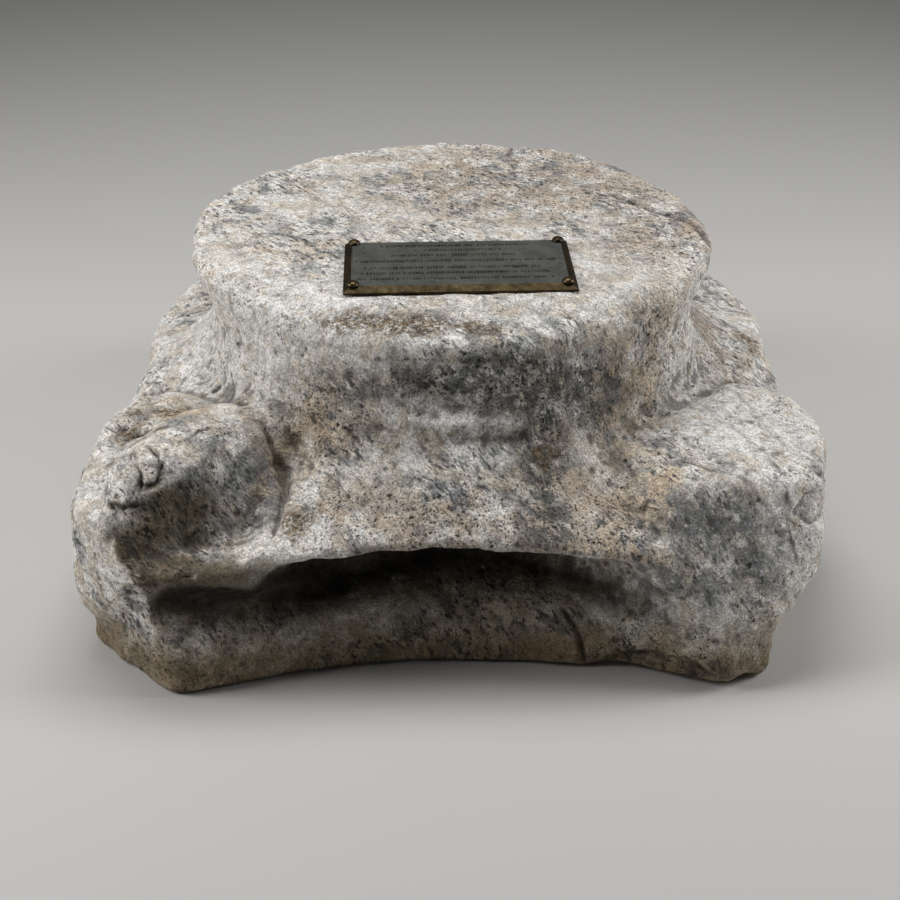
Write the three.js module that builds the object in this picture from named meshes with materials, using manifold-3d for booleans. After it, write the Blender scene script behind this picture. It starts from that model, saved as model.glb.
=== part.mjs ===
// A weathered marble capital that stands upside down: its round column bed is on top, and its
// concave-sided abacus with cut corners is below. Four broken volutes sit on the abacus's horns.
// A bronze plaque is held on the bed by four round-head screws.
// Millimetres, +Z up, -Y is the front. The origin is on the column's axis, in the plane it stands on.
import * as THREE from "three";
import { mergeVertices } from "three/addons/utils/BufferGeometryUtils.js";
import Module from "manifold-3d";

// ---------------------------------------------------------------- driving dimensions

const HEIGHT = 225; // from the plane it stands on to the column bed
const GAP = 0.3; // clearance between pieces that touch

// The bell, from the bed down to its lip, halfway along a side.
const BELL = {
  neck: 176, // radius where the flare starts
  lip: 229, // radius of the lip
  underside: 95, // height of the lip's underside
  // height and radius
  stations: [
    [96, 222],
    [103, 229],
    [110, 228],
    [118, 219],
    [128, 205],
    [138, 191],
    [147, 181],
    [155, 176],
    [163, 175],
    [172, 171],
    [184, 171],
    [196, 175],
    [208, 181],
    [216, 183],
    [225, 183],
  ],
};
const LIP_SPREAD = 3; // the flare stays round high up and takes the lip's plan only low down
// The bell's lip and the abacus's top hang lower towards the corners.
const DROOP = { lip: 13, abacus: 22, from: 165, full: 120 };
const RIM_ZONE = [186, 206]; // heights between which wear of the rim sets in

// Plans of a concave-sided block: distance of a side's middle and of its horn from the axis,
// half width of the side, how the side curves in, and distance of the cut corner.
const ABACUS = { middle: 204, horn: 243, reach: 177, sweep: 2, cut: 297 };
const WAIST = { middle: 172, horn: 234, reach: 177, sweep: 2.2, cut: 304 };
const LIP = { middle: 230, horn: 244, reach: 150, sweep: 1.4, cut: 325 };
const LIP_SHIFT = 4; // the lip stands a little further out on the right
const LIP_WIDENING = 1.02; // and it is wider than it is deep
// The rim is worn back to the neck in front, and rounded off there above a height. It sets in
// between two shares of straight ahead.
const FRONT_WEAR = { neck: 11, edge: 15, above: 202, from: 0.3, full: 0.8 };
const RIM_SWELL = { at: [-178, 45], width: 55, depth: 5 }; // the rim stands out on the left
// The front of the abacus stands out between two places across it, the right one a broken edge.
const SLAB = { depth: 7, from: -215, full: -150, thinning: 0.5, edge: 88, broken: 8 };
const PLAN_LIMIT = 1.4; // beyond this share of its half width a side runs straight on
const ABACUS_TOP = 64; // height of the abacus halfway along a side
const WAIST_TOP = 98;
const FILL_SWEEP = 3; // how closely the groove's filling keeps to the corner
const WALL_LEAN = { middle: 26, horn: 4, sweep: 2 }; // how far the abacus's wall leans in at its top

// 2 would make a form elliptical, and more is squarer.
const VOLUTE_SQUARENESS = 3;
const EGG_SQUARENESS = 2.7;
const CHANNEL = { depth: 8, width: 12, from: 104, full: 116 }; // cut into the bell round each volute

const BLEND = { bell: 9, abacus: 20, volute: 6, face: 6, hollow: 8, wear: 10 };

// Mesh of the stone: columns round the axis, crowded at the corners, and rows down each column.
const COLUMNS = 112;
const CROWDING = 0.34;
const ROWS = { rim: 2, flare: 21, lip: 3, groove: 2, wall: 5 };
const RIM_ROUND = 9; // radius of the bed's rounded rim
const FOOT = { height: 5, inset: 3 }; // the worn edge that the stone stands on
const LIP_ROW = 104; // heights of the rows that follow the lip, the groove and the abacus's wall
const GROOVE_ROW = 80;
const WALL_ROW = 60;
const CAP_SHARES = [0.8, 0.65, 0.45]; // radii of the rings on the level faces, against the rim
const OUTSIDE = 390; // a radius beyond the stone
const PROBE_STEP = 4;
const PROBE_HALVINGS = 12;
const LEVEL_STEP = 1.5;
const SKIN = 0.5; // depth below the bed at which its rim is measured

// The plaque and its screws.
const PLAQUE = {
  length: 152.4,
  width: 81,
  thickness: 4,
  bevel: 5,
  edge: 1.2,
  x: 3.6,
  y: -74,
  turn: 2.3,
};
const SCREW = {
  headRadius: 4.1,
  headHeight: 2.7,
  headRows: 4,
  shankRadius: 1.9,
  length: 14,
  point: 2,
  inset: 6.5,
  sides: 12,
};
const HOLE_CLEARANCE = 0.4;
const HOLE_OVERRUN = 1; // how far a drilled hole runs past the faces it opens in

// ---------------------------------------------------------------- small maths

const clamp01 = (t) => Math.min(1, Math.max(0, t));
const mix = (a, b, t) => a + (b - a) * t;
const radians = THREE.MathUtils.degToRad;

function smoothStep(from, to, t) {
  const s = clamp01((t - from) / (to - from));
  return s * s * (3 - 2 * s);
}

// The larger of two values, with the change from one to the other rounded over a width.
function smoothMax(a, b, width) {
  const h = Math.max(width - Math.abs(a - b), 0) / width;
  return Math.max(a, b) + (h * h * width) / 4;
}

function smoothMin(a, b, width) {
  return -smoothMax(-a, -b, width);
}

// The length of a vector of shares, by the rule that makes a unit form squarer than an ellipse.
function squareNorm(shares, squareness) {
  const sum = shares.reduce((total, share) => total + Math.pow(share, squareness), 0);
  return Math.pow(sum, 1 / squareness);
}

// A smooth curve through [place, value] stations that never overshoots them.
function throughStations(stations, place) {
  const last = stations.length - 1;
  if (place <= stations[0][0]) return stations[0][1];
  if (place >= stations[last][0]) return stations[last][1];
  const i = stations.findIndex(([p]) => p > place) - 1;
  const slope = (k) => (stations[k + 1][1] - stations[k][1]) / (stations[k + 1][0] - stations[k][0]);
  const tangent = (k) => {
    if (k === 0) return slope(0);
    if (k === last) return slope(last - 1);
    const [before, after] = [slope(k - 1), slope(k)];
    return before * after <= 0 ? 0 : (2 * before * after) / (before + after);
  };
  const width = stations[i + 1][0] - stations[i][0];
  const t = (place - stations[i][0]) / width;
  const t2 = t * t;
  const t3 = t2 * t;
  return (
    (2 * t3 - 3 * t2 + 1) * stations[i][1] +
    (t3 - 2 * t2 + t) * width * tangent(i) +
    (3 * t2 - 2 * t3) * stations[i + 1][1] +
    (t3 - t2) * width * tangent(i + 1)
  );
}

// ---------------------------------------------------------------- the stone as a field
// Each function gives a rough distance to a form: negative inside it, positive outside.

// How near a direction is to a corner: 0 halfway along a side, 1 on the diagonal.
function cornerShare(x, y) {
  const sine = (2 * x * y) / (x * x + y * y + 1e-9);
  return sine * sine;
}

// Height as the lower forms feel it, which makes them hang lower towards the corners.
function droopedHeight(x, y, z, depth) {
  return z + depth * cornerShare(x, y) * (1 - smoothStep(DROOP.full, DROOP.from, z));
}

// How far a point is outside a concave-sided plan with cut corners.
function planGap(x, y, plan) {
  const side = (out, along) => {
    const share = Math.min(along / plan.reach, PLAN_LIMIT);
    return out - plan.middle - (plan.horn - plan.middle) * Math.pow(share, plan.sweep);
  };
  const [ax, ay] = [Math.abs(x), Math.abs(y)];
  return Math.max(side(ay, ax), side(ax, ay), (ax + ay) * Math.SQRT1_2 - plan.cut);
}

// Radius at which a ray from the axis leaves a plan.
function planRadius(x, y, plan) {
  const length = Math.hypot(x, y) + 1e-9;
  let [low, high] = [0, OUTSIDE];
  for (let i = 0; i < PROBE_HALVINGS; i++) {
    const middle = (low + high) / 2;
    if (planGap((x / length) * middle, (y / length) * middle, plan) < 0) low = middle;
    else high = middle;
  }
  return (low + high) / 2;
}

function lipRadius(x, y) {
  const [u, v] = [x - LIP_SHIFT, y * LIP_WIDENING];
  return (planRadius(u, v, LIP) * LIP_WIDENING * Math.hypot(x, y)) / Math.hypot(u, v);
}

// How far the bed's rim stands out past its round plan.
function rimChange(x, y, z) {
  const ahead = smoothStep(FRONT_WEAR.from, FRONT_WEAR.full, -y / (Math.hypot(x, y) + 1e-9));
  const rounding = Math.pow(clamp01((z - FRONT_WEAR.above) / (HEIGHT - FRONT_WEAR.above)), 2);
  const away = Math.hypot(x - RIM_SWELL.at[0], y - RIM_SWELL.at[1]) / RIM_SWELL.width;
  const change = RIM_SWELL.depth * Math.exp(-away * away) - FRONT_WEAR.neck * ahead;
  return change * smoothStep(...RIM_ZONE, z) - FRONT_WEAR.edge * ahead * rounding;
}

// The column's end, flaring out to a lip that is square in plan.
function bell(x, y, z) {
  const level = droopedHeight(x, y, z, DROOP.lip);
  const radius = throughStations(BELL.stations, level) + rimChange(x, y, z);
  const flare = clamp01((radius - BELL.neck) / (BELL.lip - BELL.neck));
  const reach = flare > 0 ? (lipRadius(x, y) - BELL.lip) * Math.pow(flare, LIP_SPREAD) : 0;
  return smoothMax(Math.hypot(x, y) - radius - reach, BELL.underside - level, BLEND.bell);
}

function slab(x, y) {
  if (y > 0) return 0;
  const span = smoothStep(SLAB.from, SLAB.full, x) * (1 - smoothStep(SLAB.edge, SLAB.edge + SLAB.broken, x));
  return SLAB.depth * span * (1 - SLAB.thinning * smoothStep(0, SLAB.edge, x));
}

// The block that the capital stands on, with walls that lean in towards the groove.
function abacus(x, y, z) {
  const level = droopedHeight(x, y, z, DROOP.abacus);
  const depth = mix(WALL_LEAN.middle, WALL_LEAN.horn, cornerShare(x, y));
  const lean = depth * Math.pow(z / ABACUS_TOP, WALL_LEAN.sweep);
  return smoothMax(planGap(x, y, ABACUS) + lean - slab(x, y), level - ABACUS_TOP, BLEND.abacus);
}

// The recessed wall of the groove. `fill` brings it out towards the corner.
function waist(x, y, z, fill) {
  const wall = planGap(x, y, WAIST) - fill * Math.pow(cornerShare(x, y), FILL_SWEEP);
  return Math.max(wall, droopedHeight(x, y, z, DROOP.lip) - WAIST_TOP);
}

// The lump of a corner's two volutes: rounded above, below and on its inner sides, and left open
// outwards, where broken faces bound it.
function volutes(x, y, z, { middle, half }) {
  const inwards = [middle[0] - Math.abs(x), middle[1] - Math.abs(y)].map((depth) => Math.max(depth, 0));
  const shares = [inwards[0] / half[0], inwards[1] / half[1], Math.abs(z - middle[2]) / half[2]];
  return (squareNorm(shares, VOLUTE_SQUARENESS) - 1) * half[2];
}

// A flat face through a point. `facing` is the compass of its normal from the front, positive to
// the right, and `tilt` is how far the normal looks up.
function face(at, facing, tilt) {
  const [f, t] = [radians(facing), radians(tilt)];
  const normal = [Math.sin(f) * Math.cos(t), -Math.cos(f) * Math.cos(t), Math.sin(t)];
  const offset = normal[0] * at[0] + normal[1] * at[1] + normal[2] * at[2];
  return (x, y, z) => normal[0] * x + normal[1] * y + normal[2] * z - offset;
}

// A squarish egg, turned about the height.
function egg(centre, radii, turn) {
  const [cos, sin] = [Math.cos(radians(turn)), Math.sin(radians(turn))];
  return (x, y, z) => {
    const [u, v, w] = [x - centre[0], y - centre[1], z - centre[2]];
    const shares = [u * cos + v * sin, v * cos - u * sin, w].map((place, i) => Math.abs(place) / radii[i]);
    return (squareNorm(shares, EGG_SQUARENESS) - 1) * Math.min(...radii);
  };
}

// Each corner's volutes have a middle, given for the positive corner, and half sizes in x, y and z.
// Broken faces bound them: `sides` bound the lip too, and `tops` the volutes alone. `fill` is how
// far the groove's wall stands out there.
const CORNERS = {
  front_left: {
    lump: { middle: [180, 145, 86], half: [70, 92, 52] },
    sides: [face([-222, -223, 90], -45, 0), face([-250, -150, 90], -90, 0)],
    tops: [
      face([-200, -243, 90], 0, 6),
      face([-206, -241, 88], 0, -31),
      face([-170, -110, 151], -35, 76),
      face([-236, -145, 130], -90, 25),
      face([-228, -100, 130], -115, 30),
    ],
    fill: 0,
  },
  front_right: {
    lump: { middle: [200, 140, 92], half: [70, 92, 48] },
    sides: [
      face([230, -206, 90], 45, 0),
      face([246, -141, 130], 78, 5),
      face([244, -203, 58], 76, -41),
    ],
    tops: [
      face([190, -120, 139], 60, 86),
      face([206, -236, 86], 0, -15),
      face([243, -105, 130], 108, 28),
    ],
    fill: 12,
  },
  back_left: {
    lump: { middle: [185, 180, 88], half: [65, 65, 44] },
    sides: [
      face([-228, 209, 84], -135, 0),
      face([-226, 150, 100], -104, 27),
      face([-228, 190, 88], -118, 22),
      face([-222, 200, 86], -138, 38),
    ],
    tops: [
      face([-228, 194, 88], -150, 78),
      face([-160, 226, 88], 172, 14),
      face([-140, 208, 88], 150, 4),
    ],
    fill: 0,
  },
  back_right: {
    lump: { middle: [185, 180, 88], half: [65, 65, 44] },
    sides: [
      face([234, 210, 84], 135, 0),
      face([235, 150, 100], 104, 27),
      face([230, 190, 88], 118, 22),
      face([228, 201, 86], 138, 38),
    ],
    tops: [
      face([233, 183, 90], 150, 78),
      face([160, 228, 88], -172, 14),
      face([142, 208, 88], -150, 4),
    ],
    fill: 0,
  },
};
const HORN_FACES = [
  face([207, -224, 0], 80.5, 0), // the front right horn lost its right side
  face([183, -237, 0], 28.4, 0),
];
const SHOULDER = face([0, -132, HEIGHT], 0, 80); // the bed's front edge is worn to a gentle slope
const RIGHT_FALL = face([177, -203, 130], 12, 22); // the front right corner is broken off flush
const LEFT_BOSS = egg([-168, -168, 98], [50, 60, 53], -28); // the front left volute swells to a boss
const LEFT_HOLLOW = egg([-175, -243, 135], [50, 84, 40], -28); // whose front is broken out
const LEFT_FALL = face([-154, -183, 147], 28, 24); // down this slope

function cornerAt(x, y) {
  return CORNERS[(y < 0 ? "front_" : "back_") + (x < 0 ? "left" : "right")];
}

const bounded = (form, bounds, x, y, z) =>
  bounds.reduce((inside, bound) => smoothMax(inside, bound(x, y, z), BLEND.face), form);

// The whole stone between the plane it stands on and the bed.
function stone(x, y, z) {
  const corner = cornerAt(x, y);
  const lower = smoothMin(abacus(x, y, z), waist(x, y, z, corner.fill), BLEND.bell);
  const block = bounded(lower, HORN_FACES, x, y, z);
  const lump = bounded(volutes(x, y, z, corner.lump), corner.tops, x, y, z);
  const mass = smoothMin(lump, LEFT_BOSS(x, y, z), BLEND.volute);
  const depth = CHANNEL.depth * smoothStep(CHANNEL.from, CHANNEL.full, z);
  const channelled = bell(x, y, z) + depth * Math.exp(-Math.pow(mass / CHANNEL.width, 2));
  const upper = bounded(smoothMin(channelled, mass, BLEND.volute), corner.sides, x, y, z);
  let form = smoothMin(block, upper, BLEND.bell);
  form = smoothMax(form, SHOULDER(x, y, z), BLEND.wear);
  form = smoothMax(form, RIGHT_FALL(x, y, z), BLEND.face);
  const hollow = smoothMax(LEFT_HOLLOW(x, y, z), -LEFT_FALL(x, y, z), BLEND.face);
  return smoothMax(form, -hollow, BLEND.hollow);
}

// Distance from the axis to the stone's surface, found from outside inwards.
function surfaceRadius(azimuth, z) {
  const [dx, dy] = [Math.cos(azimuth), Math.sin(azimuth)];
  let high = OUTSIDE;
  while (high > PROBE_STEP && stone(dx * (high - PROBE_STEP), dy * (high - PROBE_STEP), z) > 0)
    high -= PROBE_STEP;
  let low = high - PROBE_STEP;
  for (let i = 0; i < PROBE_HALVINGS; i++) {
    const middle = (low + high) / 2;
    if (stone(dx * middle, dy * middle, z) > 0) high = middle;
    else low = middle;
  }
  return (low + high) / 2;
}

// ---------------------------------------------------------------- the stone as a mesh

// Points at equal steps of length along the stone's profile between two heights.
function profileBand(azimuth, from, to, count) {
  const levels = Math.ceil((from - to) / LEVEL_STEP);
  const points = [];
  for (let i = 0; i <= levels; i++) {
    const z = mix(from, to, i / levels);
    points.push(new THREE.Vector2(surfaceRadius(azimuth, z), z));
  }
  const travelled = [0];
  for (let i = 1; i <= levels; i++) travelled.push(travelled[i - 1] + points[i].distanceTo(points[i - 1]));
  const band = [];
  for (let k = 0, i = 1; k < count; k++) {
    const target = (travelled[levels] * k) / count;
    while (i < levels && travelled[i] < target) i++;
    const share = (target - travelled[i - 1]) / Math.max(1e-9, travelled[i] - travelled[i - 1]);
    band.push(points[i - 1].clone().lerp(points[i], clamp01(share)));
  }
  return band;
}

// One column of points, from the bed's rim to the edge it stands on.
function profile(azimuth) {
  const [x, y] = [Math.cos(azimuth), Math.sin(azimuth)];
  const share = cornerShare(x, y);
  const lipHeight = LIP_ROW - DROOP.lip * share;
  const grooveHeight = GROOVE_ROW - mix(DROOP.lip, DROOP.abacus, 0.5) * share;
  const wallTop = WALL_ROW - DROOP.abacus * share;
  const rimTop = surfaceRadius(azimuth, HEIGHT - SKIN);
  const points = [];
  for (let i = 0; i < ROWS.rim; i++) {
    const angle = (Math.PI / 2) * (i / ROWS.rim);
    const z = HEIGHT - RIM_ROUND * (1 - Math.cos(angle));
    const inset = RIM_ROUND * (1 - Math.sin(angle));
    points.push(new THREE.Vector2(Math.min(rimTop, surfaceRadius(azimuth, z - SKIN)) - inset, z));
  }
  points.push(...profileBand(azimuth, HEIGHT - RIM_ROUND, lipHeight, ROWS.flare));
  points.push(...profileBand(azimuth, lipHeight, grooveHeight, ROWS.lip));
  points.push(...profileBand(azimuth, grooveHeight, wallTop, ROWS.groove));
  points.push(...profileBand(azimuth, wallTop, FOOT.height, ROWS.wall));
  const foot = surfaceRadius(azimuth, FOOT.height);
  points.push(new THREE.Vector2(foot, FOOT.height));
  points.push(new THREE.Vector2(foot - FOOT.inset, 0));
  return points;
}

// Columns halve from ring to ring towards the middle of a level face, and one polygon closes it.
function capTriangles(rings, upward) {
  const triangles = [];
  for (let k = 0; k + 1 < rings.length; k++) {
    const [outer, inner] = [rings[k], rings[k + 1]];
    inner.forEach((point, i) => {
      const next = inner[(i + 1) % inner.length];
      const [a, b, c] = [outer[2 * i], outer[2 * i + 1], outer[(2 * i + 2) % outer.length]];
      triangles.push([a, b, point], [b, next, point], [b, c, next]);
    });
  }
  const core = rings[rings.length - 1];
  for (let i = 1; i + 1 < core.length; i++) triangles.push([core[0], core[i], core[i + 1]]);
  return upward ? triangles : triangles.map(([a, b, c]) => [a, c, b]);
}

function capRings(rim, shares, positions) {
  const rings = [rim];
  for (const share of shares) {
    const outer = rings[rings.length - 1];
    rings.push(
      outer
        .filter((_, i) => i % 2 === 0)
        .map((index) => {
          const [x, y, z] = positions[index];
          positions.push([x * share, y * share, z]);
          return positions.length - 1;
        }),
    );
  }
  return rings;
}

function stoneGeometry() {
  const azimuths = Array.from({ length: COLUMNS }, (_, i) => {
    const turn = (2 * Math.PI * i) / COLUMNS;
    return turn + (CROWDING / 4) * Math.sin(4 * turn);
  });
  const positions = [];
  const columns = azimuths.map((azimuth) =>
    profile(azimuth).map(({ x: radius, y: z }) => {
      positions.push([radius * Math.cos(azimuth), radius * Math.sin(azimuth), z]);
      return positions.length - 1;
    }),
  );
  const triangles = [];
  columns.forEach((column, i) => {
    const next = columns[(i + 1) % COLUMNS];
    for (let j = 0; j + 1 < column.length; j++)
      triangles.push([column[j], column[j + 1], next[j + 1]], [column[j], next[j + 1], next[j]]);
  });
  const top = capRings(columns.map((column) => column[0]), CAP_SHARES, positions);
  const bottom = capRings(columns.map((column) => column[column.length - 1]), CAP_SHARES, positions);
  triangles.push(...capTriangles(top, true), ...capTriangles(bottom, false));
  return new THREE.BufferGeometry()
    .setAttribute("position", new THREE.Float32BufferAttribute(positions.flat(), 3))
    .setIndex(triangles.flat());
}

// ---------------------------------------------------------------- joins and cuts

const manifold = await Module();
manifold.setup();

function toSolid(geometry) {
  const bare = geometry.clone();
  bare.deleteAttribute("normal");
  bare.deleteAttribute("uv");
  const merged = mergeVertices(bare, 1e-3);
  return new manifold.Manifold(
    new manifold.Mesh({
      numProp: 3,
      vertProperties: merged.attributes.position.array,
      triVerts: new Uint32Array(merged.index.array),
    }),
  );
}

function toGeometry(solid) {
  const mesh = solid.getMesh();
  return new THREE.BufferGeometry()
    .setAttribute("position", new THREE.BufferAttribute(mesh.vertProperties, mesh.numProp))
    .setIndex(new THREE.BufferAttribute(mesh.triVerts, 1));
}

// A round hole from one height to another about an upright axis.
function uprightPin(x, y, radius, low, high) {
  const geometry = new THREE.CylinderGeometry(radius, radius, high - low, SCREW.sides);
  geometry.rotateX(Math.PI / 2);
  geometry.translate(x, y, (low + high) / 2);
  return toSolid(geometry);
}

// ---------------------------------------------------------------- plaque and screws

const PLAQUE_BASE = HEIGHT + GAP;

function plaquePlaces() {
  const [u, v] = [PLAQUE.length / 2 - SCREW.inset, PLAQUE.width / 2 - SCREW.inset];
  const turn = radians(PLAQUE.turn);
  const place = (along, across) => [
    PLAQUE.x + along * Math.cos(turn) - across * Math.sin(turn),
    PLAQUE.y + along * Math.sin(turn) + across * Math.cos(turn),
  ];
  return {
    screw_front_left: place(-u, -v),
    screw_front_right: place(u, -v),
    screw_back_left: place(-u, v),
    screw_back_right: place(u, v),
  };
}

// A plate with an upright edge and a bevel all round its upper face.
function plaqueGeometry(places) {
  const outline = (inset, z) => {
    const [u, v] = [PLAQUE.length / 2 - inset, PLAQUE.width / 2 - inset];
    return [[-u, -v, z], [u, -v, z], [u, v, z], [-u, v, z]];
  };
  const positions = [
    ...outline(0, 0),
    ...outline(0, PLAQUE.edge),
    ...outline(PLAQUE.bevel, PLAQUE.thickness),
  ];
  const triangles = [[0, 2, 1], [0, 3, 2], [8, 9, 10], [8, 10, 11]];
  for (const row of [0, 4])
    for (let i = 0; i < 4; i++) {
      const [a, b] = [row + i, row + ((i + 1) % 4)];
      triangles.push([a, b, b + 4], [a, b + 4, a + 4]);
    }
  const plate = new THREE.BufferGeometry()
    .setAttribute("position", new THREE.Float32BufferAttribute(positions.flat(), 3))
    .setIndex(triangles.flat());
  plate.rotateZ(radians(PLAQUE.turn));
  plate.translate(PLAQUE.x, PLAQUE.y, PLAQUE_BASE);
  let solid = toSolid(plate);
  const radius = SCREW.shankRadius + HOLE_CLEARANCE;
  const [low, high] = [HEIGHT - HOLE_OVERRUN, PLAQUE_BASE + PLAQUE.thickness + HOLE_OVERRUN];
  for (const [x, y] of Object.values(places)) solid = solid.subtract(uprightPin(x, y, radius, low, high));
  return toGeometry(solid);
}

// A round-head screw as one turned form, with its origin under the head.
function screwGeometry() {
  const points = [
    new THREE.Vector2(0, -SCREW.length),
    new THREE.Vector2(SCREW.shankRadius, -SCREW.length + SCREW.point),
    new THREE.Vector2(SCREW.shankRadius, 0),
  ];
  for (let i = 0; i <= SCREW.headRows; i++) {
    const angle = (Math.PI / 2) * (i / SCREW.headRows);
    const radius = i === SCREW.headRows ? 0 : SCREW.headRadius * Math.cos(angle);
    points.push(new THREE.Vector2(radius, SCREW.headHeight * Math.sin(angle)));
  }
  const geometry = new THREE.LatheGeometry(points, SCREW.sides);
  geometry.rotateX(Math.PI / 2);
  return geometry;
}

// ---------------------------------------------------------------- the part

const marble = new THREE.MeshStandardMaterial({ color: 0xcdc3b8, roughness: 0.85, metalness: 0 });
const bronze = new THREE.MeshStandardMaterial({ color: 0x3d3a2e, roughness: 0.45, metalness: 1 });
const screwBronze = new THREE.MeshStandardMaterial({ color: 0x4a3d24, roughness: 0.35, metalness: 1 });

function mesh(name, geometry, material) {
  const made = new THREE.Mesh(geometry, material);
  made.name = name;
  return made;
}

function capital(places) {
  let solid = toSolid(stoneGeometry());
  const radius = SCREW.shankRadius + HOLE_CLEARANCE;
  for (const [x, y] of Object.values(places))
    solid = solid.subtract(uprightPin(x, y, radius, HEIGHT - SCREW.length, HEIGHT + HOLE_OVERRUN));
  return mesh("capital", toGeometry(solid), marble);
}

const part = new THREE.Group();
const places = plaquePlaces();
part.add(capital(places));
part.add(mesh("plaque", plaqueGeometry(places), bronze));
for (const [name, [x, y]] of Object.entries(places)) {
  const screw = mesh(name, screwGeometry(), screwBronze);
  screw.position.set(x, y, PLAQUE_BASE + PLAQUE.thickness + GAP);
  part.add(screw);
}

export default part;
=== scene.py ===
"""A weathered marble capital standing upside down, with a bronze plaque on its column bed.

The stone is the CAD solid, remeshed finely, with its wear, breaks and cracks cut into it. The plate and
its screws are finer copies of the CAD ones. Lengths are in millimetres up to the mesh, which is in metres.
"""
import itertools
import math

import bmesh
import bpy
import numpy as np
from mathutils import Matrix, Vector
from mathutils.bvhtree import BVHTree
from mathutils.kdtree import KDTree


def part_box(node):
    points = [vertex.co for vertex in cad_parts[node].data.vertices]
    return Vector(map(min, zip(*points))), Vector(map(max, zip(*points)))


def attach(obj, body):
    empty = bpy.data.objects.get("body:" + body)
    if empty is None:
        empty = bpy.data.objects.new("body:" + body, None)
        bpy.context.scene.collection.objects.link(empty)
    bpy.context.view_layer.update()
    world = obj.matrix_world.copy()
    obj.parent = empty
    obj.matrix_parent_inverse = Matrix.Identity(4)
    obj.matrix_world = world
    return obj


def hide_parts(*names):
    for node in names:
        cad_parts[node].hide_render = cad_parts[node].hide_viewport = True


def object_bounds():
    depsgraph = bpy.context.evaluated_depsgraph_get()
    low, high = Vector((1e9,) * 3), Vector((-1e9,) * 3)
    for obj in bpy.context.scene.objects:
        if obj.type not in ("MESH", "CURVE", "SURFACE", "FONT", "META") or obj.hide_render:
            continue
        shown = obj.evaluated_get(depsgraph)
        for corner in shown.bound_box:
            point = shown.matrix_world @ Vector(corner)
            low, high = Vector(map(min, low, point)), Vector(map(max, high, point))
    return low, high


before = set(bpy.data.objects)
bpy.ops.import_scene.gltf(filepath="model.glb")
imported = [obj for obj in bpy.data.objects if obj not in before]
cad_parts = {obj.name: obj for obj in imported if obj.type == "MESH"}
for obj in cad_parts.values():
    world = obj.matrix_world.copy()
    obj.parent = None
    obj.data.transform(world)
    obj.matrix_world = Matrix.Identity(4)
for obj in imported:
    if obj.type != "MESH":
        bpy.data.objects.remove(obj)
cad_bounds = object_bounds()

MM = 0.001
SEED = 7

# -------- driving values, in millimetres

CELL = 2.3  # size of the stone's mesh cells
TRIANGLES = 190000  # the most the stone keeps
THIN_LINE = 2.5  # cracks thinner than this have finer cells along them
THIN_REACH = 6
THIN_CUTS = 2  # cuts of each edge there
FACET_ROUNDS = 7  # takes the CAD facets out
CUT_ROUNDS = 3  # softens the edges of the breaks
CUT_HALVINGS = 14  # steps in which the end of a cut is found

# Wear of the whole surface: size of the lumps, depth.
WEAR = [(70, 2.2), (26, 1.7), (11, 1.1), (5.5, 0.65)]
GRAIN = {"length": 15, "thickness": 5, "depth": 0.25}  # ridges of the stone's layers
PITS = [(13, 0.2, 1.8), (7, 0.26, 1.2)]  # size of a cell, radius in cells, depth
CHIPS = [(24, 0.55, 5.0), (11, 0.5, 2.4)]  # along worn edges: size of a cell, radius in cells, depth
PIT_SHARE = 0.4  # share of the cells that have a pit or a chip
CHIP_SHARE = 0.65
EDGE_ROUNDS = 14  # how wide the surroundings are that an edge stands out of
EDGE_BULGE = (0.5, 1.6)  # how far an edge stands out where chips begin, and where they are full
BED_WEAR = 0.35  # the bed wears less than the rest
BED_SINK = 0.5  # keeps the bed clear of the plaque
BED_LEVEL = (0.9, 0.98)  # how far up a face looks where it begins to be bed, and where it is
BED_DEPTHS = (12, 3)  # depths below the top between which the bed sets in
FOOT_HEIGHTS = (0.5, 5)  # heights above the floor between which the wear sets in

NOISE_GAIN = 1.6  # brings the noise to about -1 to 1
PIT_MIDDLES = (0.1, 0.9)  # where in its cell a pit may lie
PIT_SMALLEST = 0.5  # share of its reach that the smallest pit has
# Seeds of the noise.
SEEDS = {"wear": 11, "grain": 41, "pits": 51, "chips": 61, "lines": 71}
PLATE_SEEDS = (75, 76, 77)
STAIN_SEEDS = (81, 82, 83)

FOLIATION = Vector((0.72, 0.65, 0.24)).normalized()  # across the stone's layers

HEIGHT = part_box("capital")[1].z / MM

# The break in the front left volute, cut by a squarish egg shape as deep as a slope: the egg's centre
# and radii, its turn about the height, and the way the stone goes.
HOLLOW = {"centre": (-175, -243, 135), "radii": (51, 85, 41), "turn": -28, "way": (-0.3, 0.75, -0.6)}
HOLLOW_SQUARENESS = 2.7
SLOPE = {"at": (-154, -182, 147), "facing": 28, "tilt": 24}

# Flat breaks: a point, the compass from the front of the way they face, and how far up they look.
FACES = [((177, -204, 130), 12, 22), ((-221, -222, 90), -45, 0), ((-247, -150, 90), -88, 0)]

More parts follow.
